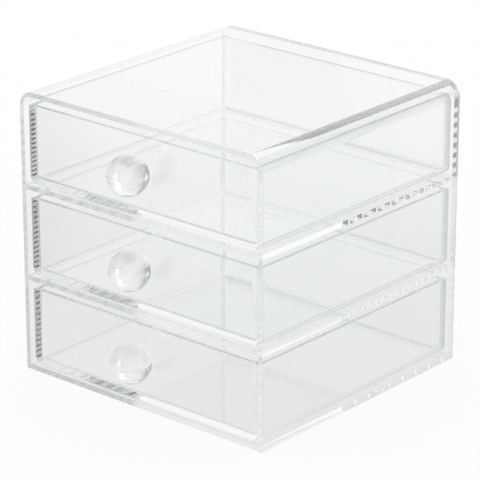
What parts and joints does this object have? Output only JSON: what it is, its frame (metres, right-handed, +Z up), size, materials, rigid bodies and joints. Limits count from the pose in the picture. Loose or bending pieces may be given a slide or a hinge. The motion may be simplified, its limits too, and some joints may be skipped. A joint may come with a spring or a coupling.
{
  "type": "acrylic drawer organizer",
  "caption": "Clear acrylic desktop organizer: a bent-sheet case with stacked bays and sliding drawers, each pulled by a clear ball knob.",
  "frame": {"origin": "middle of the case's underside", "axes": "+X to the right as seen from the front, +Y from the drawer fronts to the back, +Z up"},
  "size_m": [0.165, 0.177, 0.1565],
  "materials": {
    "case_sheet": "clear polished acrylic sheet",
    "drawer_sheet": "clear polished acrylic sheet",
    "knob": "clear polished acrylic"
  },
  "bodies": {
    "case": {"case_wrap": "case_sheet", "base_panel": "case_sheet", "back_panel": "case_sheet", "lower_shelf": "case_sheet", "upper_shelf": "case_sheet"},
    "bottom_drawer": {"bottom_drawer_tray": "drawer_sheet", "bottom_drawer_front": "drawer_sheet", "bottom_drawer_back": "drawer_sheet", "bottom_drawer_knob": "knob"},
    "middle_drawer": {"middle_drawer_tray": "drawer_sheet", "middle_drawer_front": "drawer_sheet", "middle_drawer_back": "drawer_sheet", "middle_drawer_knob": "knob"},
    "top_drawer": {"top_drawer_tray": "drawer_sheet", "top_drawer_front": "drawer_sheet", "top_drawer_back": "drawer_sheet", "top_drawer_knob": "knob"}
  },
  "joints": [
    {"name": "bottom_drawer_slide", "type": "slide", "parent": "case", "child": "bottom_drawer", "axis": [0, -1, 0], "range_m": [0, 0.12]},
    {"name": "middle_drawer_slide", "type": "slide", "parent": "case", "child": "middle_drawer", "axis": [0, -1, 0], "range_m": [0, 0.12]},
    {"name": "top_drawer_slide", "type": "slide", "parent": "case", "child": "top_drawer", "axis": [0, -1, 0], "range_m": [0, 0.12]}
  ]
}
